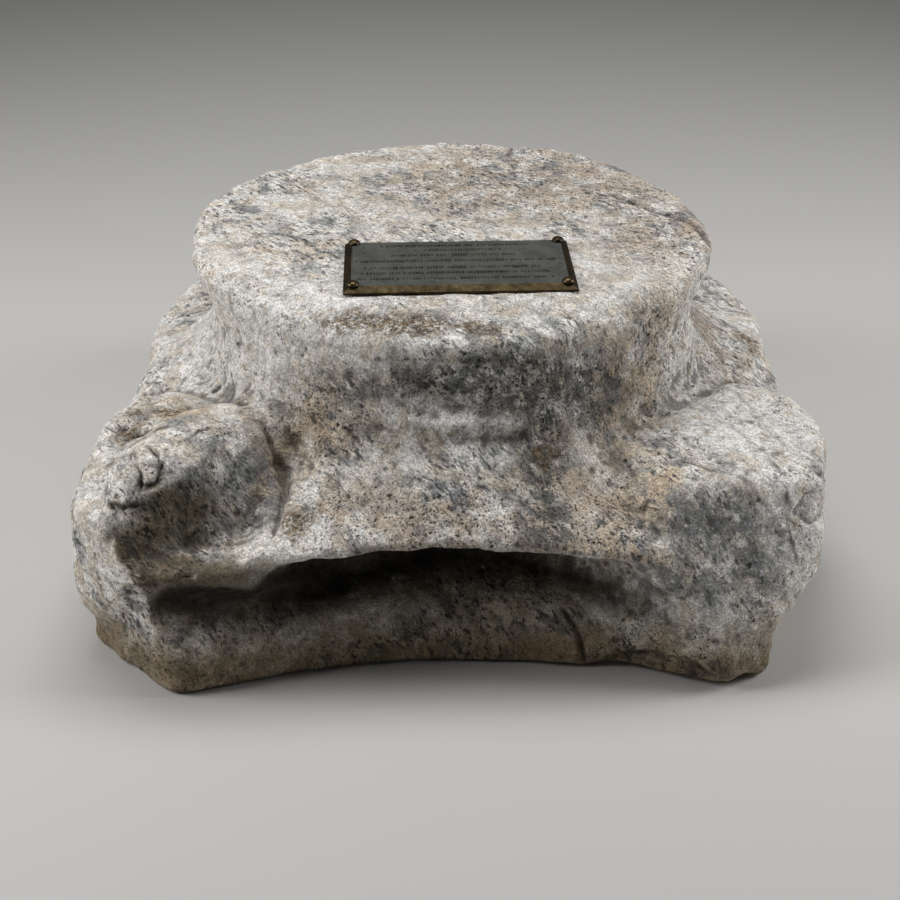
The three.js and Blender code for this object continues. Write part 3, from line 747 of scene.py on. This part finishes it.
def shelter(mesh, points, normals):
    """How sheltered each point is, measured at some of them and carried to the rest."""
    corners = [tuple(point * MM) for point in points]
    tree = BVHTree.FromPolygons(corners, [tuple(polygon.vertices) for polygon in mesh.polygons])
    chosen = np.arange(0, len(points), SHELTER_EVERY)
    measured = occlusion(points[chosen], normals[chosen], tree)
    return spread(points[chosen], measured, points)


def marked(points, places, soft):
    """1 inside any of some egg-shaped places, falling to 0 past their edges."""
    strength = np.zeros(len(points))
    for centre, radii, *_ in places:
        strength = np.maximum(strength, blob(points, centre, radii, soft))
    return strength


def cut_darkness(points):
    """How dark the cracks and holes are at each point, from 0 to 1."""
    strength = marked(points, HOLES, HOLE_SOFTNESS)
    for width, depth, path in LINES.values():
        if depth > 0 and width < THIN_LINE:
            across = along_path(points, path)[0] / (width + CRACK_MARGIN)
            darkness = min(1.0, depth / DEEP_LINE)
            strength = np.maximum(strength, darkness * np.exp(-(across**2)))
    return strength


def paint_masks(mesh):
    """Stores where the stone is hollow, sheltered, stained or cut, and where light and shade are painted,
    for its material.
    """
    points, normals, edges = positions_of(mesh), normals_of(mesh), edges_of(mesh)
    near = bulge(points, normals, edges, CAVITY["near_rounds"])
    wide = bulge(points, normals, edges, CAVITY["wide_rounds"])
    put_mask(mesh, "cavity", CAVITY["flat"] - CAVITY["near"] * near - CAVITY["wide"] * wide)
    put_mask(mesh, "shade", relaxed(shelter(mesh, points, normals), edges, SHELTER_ROUNDS))
    ragged = wandering(points, STAIN_WANDER, STAIN_SEEDS)
    # the painted shade is left off the faces that the left lamp lights
    away_from_left_lamp = smooth_step(*LEFT_LOOK, normals[:, 0])
    for name, patches in STAINS.items():
        strength = marked(ragged, patches, STAIN_SOFTNESS)
        put_mask(mesh, name, strength * away_from_left_lamp if name in PAINTED_SHADE_STAINS else strength)
    put_mask(mesh, "cut", cut_darkness(points))


# -------- materials


class Nodes:
    """Short-hand for building a material's node tree."""

    def __init__(self, name):
        self.material = bpy.data.materials.new(name)
        self.material.use_nodes = True
        self.tree = self.material.node_tree
        self.tree.nodes.clear()
        output = self.add("OutputMaterial")
        self.shader = self.add("BsdfPrincipled")
        self.tree.links.new(self.shader.outputs[0], output.inputs[0])
        self.place = self.add("TexCoord").outputs["Object"]

    def add(self, kind, inputs=None, **settings):
        """A node with its settings, and what its inputs are or come from."""
        node = self.tree.nodes.new("ShaderNode" + kind)
        for name, value in settings.items():
            setattr(node, name, value)
        for name, value in (inputs or {}).items():
            self.put(node.inputs[name], value)
        return node

    def put(self, socket, value):
        """Gives a socket a value, or the output that its value comes from."""
        if isinstance(value, bpy.types.NodeSocket):
            self.tree.links.new(value, socket)
        elif socket.type == "RGBA":
            socket.default_value = (*value, 1)
        else:
            socket.default_value = value

    def mapped(self, vector, rotation=(0, 0, 0), scale=(1, 1, 1)):
        """Places turned and stretched."""
        return self.add("Mapping", {"Vector": vector, "Rotation": rotation, "Scale": scale}).outputs[0]

    def bent(self, vector, size, reach):
        """Places moved about by noise, so that what is drawn on them is ragged."""
        wander = self.add("TexNoise", {"Vector": vector, "Scale": 1 / (size * MM)}).outputs["Color"]
        middled = self.add("VectorMath", {0: wander, 1: (0.5, 0.5, 0.5)}, operation="SUBTRACT").outputs[0]
        moved = {0: middled, 1: (reach * MM,) * 3, 2: vector}
        return self.add("VectorMath", moved, operation="MULTIPLY_ADD").outputs[0]

    def lumps(self, name, places=None):
        """The noise of a named pattern, on the stone's own places or others."""
        given = PATTERNS[name]
        noise_inputs = {
            "Vector": places or self.place,
            "Scale": 1 / (given["size"] * MM),
            "Detail": given.get("detail", PATTERN_DETAIL),
            "Roughness": given.get("roughness", PATTERN_ROUGHNESS),
        }
        return self.add("TexNoise", noise_inputs).outputs["Fac"]

    def pattern(self, name, places=None):
        """A named pattern, 0 and 1 or what else it gives below and above its noise."""
        given = PATTERNS[name]
        return self.ramp(self.lumps(name, places), *given["between"], *given.get("gives", (0.0, 1.0)))

    def ramp(self, value, low, high, start=0.0, end=1.0):
        """An eased change from one value to another, between a low and a high input."""
        inputs = {"Value": value, "From Min": low, "From Max": high, "To Min": start, "To Max": end}
        return self.add("MapRange", inputs, interpolation_type="SMOOTHSTEP", clamp=True).outputs[0]

    def maths(self, operation, a, b=0.0):
        return self.add("Math", {0: a, 1: b}, operation=operation).outputs[0]

    def times(self, *values):
        result = values[0]
        for value in values[1:]:
            result = self.maths("MULTIPLY", result, value)
        return result

    def most(self, *values):
        result = values[0]
        for value in values[1:]:
            result = self.maths("MAXIMUM", result, value)
        return result

    def mask(self, name):
        return self.add("Attribute", attribute_name=name).outputs["Fac"]

    def over(self, base, colour, share, blend="MIX"):
        """A colour laid over another by a share from 0 to 1."""
        inputs = {0: share, 6: base, 7: colour}  # the sockets that a mix of colours has
        return self.add("Mix", inputs, data_type="RGBA", blend_type=blend, clamp_factor=True).outputs[2]

    def shaded(self, base, tint, share):
        """A colour darkened by a tint."""
        return self.over(base, self.over((1, 1, 1), tint, share), 1.0, "MULTIPLY")

    def lit(self, base, value):
        """A colour made lighter or darker by a value around 1."""
        grey = self.add("CombineColor", {0: value, 1: value, 2: value}).outputs[0]
        return self.over(base, grey, 1.0, "MULTIPLY")

    def bump(self, height, depth, after=None):
        """Relief of a depth in millimetres, on top of other relief if there is some."""
        inputs = {"Height": height, "Distance": depth * MM}
        if after is not None:
            inputs["Normal"] = after
        return self.add("Bump", inputs).outputs[0]

    def finish(self, inputs):
        """The material, with what its shader's inputs are or come from."""
        for name, value in inputs.items():
            self.put(self.shader.inputs[name], value)
        return self.material


class MarbleNodes(Nodes):
    """Nodes for the stone, with its masks, places along its layers and places with ragged edges."""

    def __init__(self):
        super().__init__("marble")
        self.masks = {name: self.mask(name) for name in (*STAINS, "cavity", "shade", "cut")}
        turn = FOLIATION.rotation_difference(Vector((1, 0, 0))).to_euler()
        self.layers = self.bent(self.mapped(self.place, rotation=turn), **LAYER_BEND)
        self.ragged = self.bent(self.place, **SPECK_BEND)

    def stretched(self, name):
        """Places on which a pattern's lumps come out longer along the layers."""
        longer = PATTERNS[name]["size"] / PATTERNS[name]["length"]
        return self.mapped(self.layers, scale=(1, longer, longer))

    def laid(self, base, name, *shares):
        """One of the marble's colours laid over another where all the shares say so."""
        return self.over(base, COLOURS[name], self.times(*shares, STRENGTHS[name]))

    def cells(self, size):
        """Scattered cells of a size in millimetres, with ragged edges."""
        return self.add("TexVoronoi", {"Vector": self.ragged, "Scale": 1 / (size * MM)})


def crystals(n):
    """Cream and white crystals, with warm and brown places."""
    colour = n.laid(COLOURS["cream"], "crystal", n.pattern("crystals"))
    warm = n.most(n.pattern("warm_places"), n.masks["tan"])
    colour = n.laid(colour, "warm", warm, n.pattern("warm"))
    return n.laid(colour, "brown", n.masks["pepper"], n.pattern("brown"))


def layered_greys(n, colour):
    """Grey clouds, dark streaks and thin folds along the stone's layers."""
    # white: the places of painted light, which lose grey clouds and keep streaks
    white = n.masks["white"]
    places = n.most(n.pattern("grey_places"), n.masks["dark"], n.masks["grey"])
    places = n.times(places, n.maths("SUBTRACT", 1.0, n.times(white, WHITE_WITHOUT_GREY)))
    colour = n.laid(colour, "cloud", n.pattern("clouds", n.stretched("clouds")), places)
    streaked = n.most(places, n.times(white, WHITE_STREAKED))
    colour = n.laid(colour, "streak", n.pattern("streaks", n.stretched("streaks")), streaked)
    folds = n.lumps("folds", n.stretched("folds"))
    off_middle = n.maths("ABSOLUTE", n.maths("SUBTRACT", folds, FOLD["middle"]))
    return n.laid(colour, "fold", n.ramp(off_middle, FOLD["thin"], FOLD["thick"], 1.0, 0.0), places)


def placed_tones(n, colour):
    """The grey places, partly painted shade, the dark places and the places of painted light."""
    # grey stone, partly painted shade
    colour = n.laid(colour, "grey", n.masks["grey"], n.pattern("grey"))
    colour = n.laid(colour, "dark", n.masks["dark"], n.pattern("dark"))
    # painted light where the lamps fall most
    return n.laid(colour, "painted_light", n.masks["white"], n.pattern("painted_light"))


def specks(n, colour):
    """Dark ragged specks, thick in some places."""
    pepper = n.masks["pepper"]
    speckled = n.most(n.pattern("speck_places"), n.masks["dark"], pepper)
    for size, reach, without in SPECKS:
        dots = n.cells(size)
        speck = n.ramp(dots.outputs["Distance"], reach * SPECK_CORE, reach, 1.0, 0.0)
        lot = n.add("SeparateColor", {0: dots.outputs["Color"]}).outputs[0]
        crowded = n.maths("ADD", lot, n.times(pepper, SPECK_CROWD))
        chosen = n.ramp(crowded, without, without + SPECK_FADE)
        colour = n.laid(colour, "speck", speck, chosen, speckled)
    return colour


def lighter_and_darker(n, colour):
    """Small lighter and darker grains everywhere."""
    colour = n.lit(colour, n.pattern("fine_light"))
    return n.lit(colour, n.pattern("broad_light"))


def lichen(n, colour):
    """Brown growth in its places."""
    rust = n.over(COLOURS["pale_rust"], COLOURS["dark_rust"], n.pattern("rust"))
    return n.over(colour, rust, n.times(n.masks["lichen"], n.pattern("lichen"), STRENGTHS["lichen"]))


def soil_and_shade(n, colour):
    """The brown of earth stain and painted shade, low down, with a wavering edge."""
    height = n.add("SeparateXYZ", {0: n.place}).outputs[2]
    uneven = n.maths("ADD", height, n.maths("MULTIPLY", n.lumps("low_band_edge"), SOIL_AND_SHADE["waver"] * MM))
    full, end = ((SOIL_AND_SHADE[name] + SOIL_AND_SHADE["waver"] / 2) * MM for name in ("full", "end"))
    # earth stain and painted shade: the stone is darker and browner towards the bottom
    return n.shaded(colour, COLOURS["soil_and_shade"], n.ramp(uneven, full, end, 1.0, 0.0))


def dirt_and_painted_shade(n, colour):
    """Staining and painted shade in the shelter, smoke stain and painted shade in patches, painted shadow
    under the lip, and the dark of the hollows and cracks.
    """
    sheltered = n.maths("ADD", n.masks["shade"], n.times(n.lumps("grime_and_shade"), GRIME_AND_SHADE["wavering"]))
    # painted shade and staining: darker where the stone is sheltered from the lamps
    colour = n.shaded(colour, COLOURS["grime_and_shade"], n.ramp(sheltered, *GRIME_AND_SHADE["between"]))
    colour = n.shaded(colour, COLOURS["soot_and_shade"], n.masks["soot_and_shade"])
    # smoke stain and painted shade in the groove and in the break of the left volute
    colour = n.shaded(colour, COLOURS["painted_shadow"], n.masks["painted_shadow"])
    # painted shadow in the groove under the lip
    cavity = n.masks["cavity"]
    colour = n.lit(colour, n.ramp(cavity, *WORN_LIGHT["between"], *WORN_LIGHT["gives"]))
    colour = n.laid(colour, "hollow", n.ramp(cavity, *HOLLOW_DARK))
    return n.laid(colour, "crack", n.masks["cut"])


def relief(n):
    """The stone's rough skin, finer than its mesh."""
    surface = None
    for name, depth in RELIEF.items():
        surface = n.bump(n.lumps(name), depth, surface)
    grains = n.cells(GRAIN_RELIEF["size"]).outputs["Distance"]
    return n.bump(n.ramp(grains, 0.0, GRAIN_RELIEF["reach"]), GRAIN_RELIEF["depth"], surface)


def marble():
    """Grey-veined cream marble, speckled and grimy, with painted light and shade."""
    n = MarbleNodes()
    colour = crystals(n)
    for step in (layered_greys, placed_tones, specks, lighter_and_darker, lichen, soil_and_shade, dirt_and_painted_shade):
        colour = step(n, colour)
    return n.finish({
        "Base Color": colour,
        "Roughness": n.pattern("stone_roughness"),
        "Specular IOR Level": STONE_SPECULAR,
        "Normal": relief(n),
    })


def bronze(name):
    """Patinated metal, with duller and brighter places and dark spots."""
    dull, bright, metallic, roughness = METALS[name]
    n = Nodes(name)
    colour = n.over(dull, bright, n.pattern("metal_tone"))
    spot = tuple(METAL_SPOTS["tone"] * part for part in dull)
    colour = n.over(colour, spot, n.times(n.pattern("metal_spots"), METAL_SPOTS["strength"]))
    lumps, between = n.lumps("metal_roughness"), PATTERNS["metal_roughness"]["between"]
    smoothest, roughest = (roughness + change for change in METAL_ROUGHNESS_SPREAD)
    return n.finish({
        "Base Color": colour,
        "Metallic": metallic,
        "Roughness": n.ramp(lumps, *between, smoothest, roughest),
        "Normal": n.bump(n.lumps("metal_relief"), METAL_RELIEF),
    })


# -------- plaque and screws


def make_plate():
    """The CAD plate with its edges softened, its flat top in a material of its own."""
    piece = new_object("bronze_plate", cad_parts["plaque"].data.copy())
    bevel = piece.modifiers.new("edges", "BEVEL")
    bevel.width = PLATE_EDGE["width"] * MM
    bevel.segments = PLATE_EDGE["segments"]
    bevel.limit_method = "ANGLE"
    bevel.angle_limit = math.radians(PLATE_EDGE["angle"])
    bake(piece)
    mesh = piece.data
    mesh.materials.clear()
    mesh.materials.append(bronze("plaque_rim"))
    mesh.materials.append(bronze("plaque_field"))
    for polygon in mesh.polygons:
        in_field = polygon.normal.z > LEVEL and polygon.area > PLATE_FIELD_AREA
        polygon.material_index = 1 if in_field else 0
    return piece


def box_into(bm, centre, along, across, half):
    """Adds a closed box, turned to two directions."""
    corners = []
    for sx, sy, sz in itertools.product((-1, 1), repeat=3):
        place = centre + along * (sx * half[0]) + across * (sy * half[1]) + Vector((0, 0, sz * half[2]))
        corners.append(bm.verts.new(place * MM))
    for quad in ((0, 1, 3, 2), (4, 6, 7, 5), (0, 4, 5, 1), (2, 3, 7, 6), (0, 2, 6, 4), (1, 5, 7, 3)):
        bm.faces.new([corners[i] for i in quad])


def stroke_into(bm, rng, place, row):
    """Adds one upright stroke to the plaque's top."""
    low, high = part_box("plaque")
    along = Vector((math.cos(PLAQUE_TURN), math.sin(PLAQUE_TURN), 0))
    across = Vector((-math.sin(PLAQUE_TURN), math.cos(PLAQUE_TURN), 0))
    tall = STROKE["height"] * rng.uniform(*STROKE_SHARES["height"])
    uneven = rng.uniform(-STROKE["unevenness"], STROKE["unevenness"])
    centre = (low + high) / 2 / MM + along * place + across * (row + uneven)
    centre.z = high.z / MM
    width = STROKE["width"] * rng.uniform(*STROKE_SHARES["width"])
    lean = Matrix.Rotation(rng.uniform(-STROKE["lean"], STROKE["lean"]), 3, "Z")
    box_into(bm, centre, lean @ along, lean @ across, (width / 2, tall / 2, STROKE["rise"]))


def make_strokes():
    """Rows of strokes where the plaque is written on, which aren't letters."""
    rng = np.random.RandomState(SEED + 4)
    bm = bmesh.new()
    for row, start, end in STROKE_ROWS:
        place = start
        while place < end:
            if rng.rand() > STROKE_SHARES["missing"]:
                stroke_into(bm, rng, place, row)
            place += STROKE["pitch"] * rng.uniform(*STROKE_SHARES["pitch"])
    bmesh.ops.recalc_face_normals(bm, faces=bm.faces)
    mesh = bpy.data.meshes.new("plaque_strokes")
    bm.to_mesh(mesh)
    bm.free()
    mesh.materials.append(bronze("stroke_bronze"))
    return new_object("plaque_strokes", mesh)


def turned_mesh(name, profile, middle):
    """A closed mesh made by turning a profile of radii and heights about an upright axis."""
    sides = SCREW["sides"]
    bm = bmesh.new()
    rings = []
    for radius, z in profile[1:-1]:
        ring = []
        for k in range(sides):
            turn = 2 * math.pi * k / sides
            place = (middle.x + radius * math.cos(turn), middle.y + radius * math.sin(turn), z)
            ring.append(bm.verts.new(place))
        rings.append(ring)
    for lower, upper in zip(rings, rings[1:]):
        for k in range(sides):
            j = (k + 1) % sides
            bm.faces.new((lower[k], lower[j], upper[j], upper[k]))
    for ring, (_, z), order in ((rings[0], profile[0], -1), (rings[-1], profile[-1], 1)):
        tip = bm.verts.new((middle.x, middle.y, z))
        for k in range(sides):
            bm.faces.new((ring[k], ring[(k + 1) % sides], tip)[::order])
    mesh = bpy.data.meshes.new(name)
    bm.to_mesh(mesh)
    bm.free()
    return mesh


def make_screw(node, material):
    """A screw with a smooth domed head, in the place of the CAD one."""
    low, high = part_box(node)
    radius = (high.x - low.x) / 2
    head = SCREW["head"] * MM
    seat = high.z - head
    shank = radius * SCREW["shank"]
    profile = [(0, low.z), (shank, low.z + SCREW["point"] * MM), (shank, seat)]
    for i in range(SCREW["rows"] + 1):
        angle = math.pi / 2 * i / SCREW["rows"]
        profile.append((radius * math.cos(angle), seat + head * math.sin(angle)))
    mesh = turned_mesh(node.replace("screw", "dome"), profile, (low + high) / 2)
    mesh.materials.append(material)
    smooth_shaded(mesh)
    return new_object(mesh.name, mesh)


# -------- floor, lights, camera


def make_floor():
    bpy.ops.mesh.primitive_plane_add(size=FLOOR["size"], location=(0, 0, 0))
    floor = bpy.context.object
    floor.name = "floor"
    paint = {"Base Color": FLOOR["colour"], "Roughness": FLOOR["roughness"]}
    floor.data.materials.append(Nodes("floor_paint").finish(paint))


def make_lights():
    for name, (place, target, size, power) in LIGHTS.items():
        lamp = bpy.data.lights.new(name, "AREA")
        lamp.shape = "RECTANGLE"
        lamp.size, lamp.size_y = size
        lamp.energy = power
        holder = new_object(name, lamp)
        holder.location = place
        holder.rotation_euler = (Vector(target) - Vector(place)).to_track_quat("-Z", "Y").to_euler()
    world = bpy.data.worlds.new("studio")
    world.use_nodes = True
    background = world.node_tree.nodes["Background"]
    background.inputs["Color"].default_value = WORLD["colour"]
    background.inputs["Strength"].default_value = WORLD["strength"]
    bpy.context.scene.world = world
    bpy.context.scene.view_settings.view_transform = "Standard"


def make_camera():
    lens = bpy.data.cameras.new("camera")
    lens.angle = FIELD_OF_VIEW
    holder = new_object("camera", lens)
    elevation = math.radians(VIEW_ELEVATION)
    target = Vector(VIEW_POINT) * MM
    offset = Vector((0, -math.cos(elevation), math.sin(elevation))) * VIEW_DISTANCE * MM
    holder.location = target + offset
    holder.rotation_euler = (-offset).to_track_quat("-Z", "Y").to_euler()
    bpy.context.scene.camera = holder


# -------- the scene

stone = make_stone()
stone.data.materials.append(marble())
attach(stone, "root")
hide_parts("capital")

plate = make_plate()
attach(plate, "root")
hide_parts("plaque")

strokes = make_strokes()
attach(strokes, "root")

screw_metal = bronze("screw_bronze")
for screw_node in SCREW_NODES:
    dome = make_screw(screw_node, screw_metal)
    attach(dome, "root")
    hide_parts(screw_node)

make_floor()
make_lights()
make_camera()
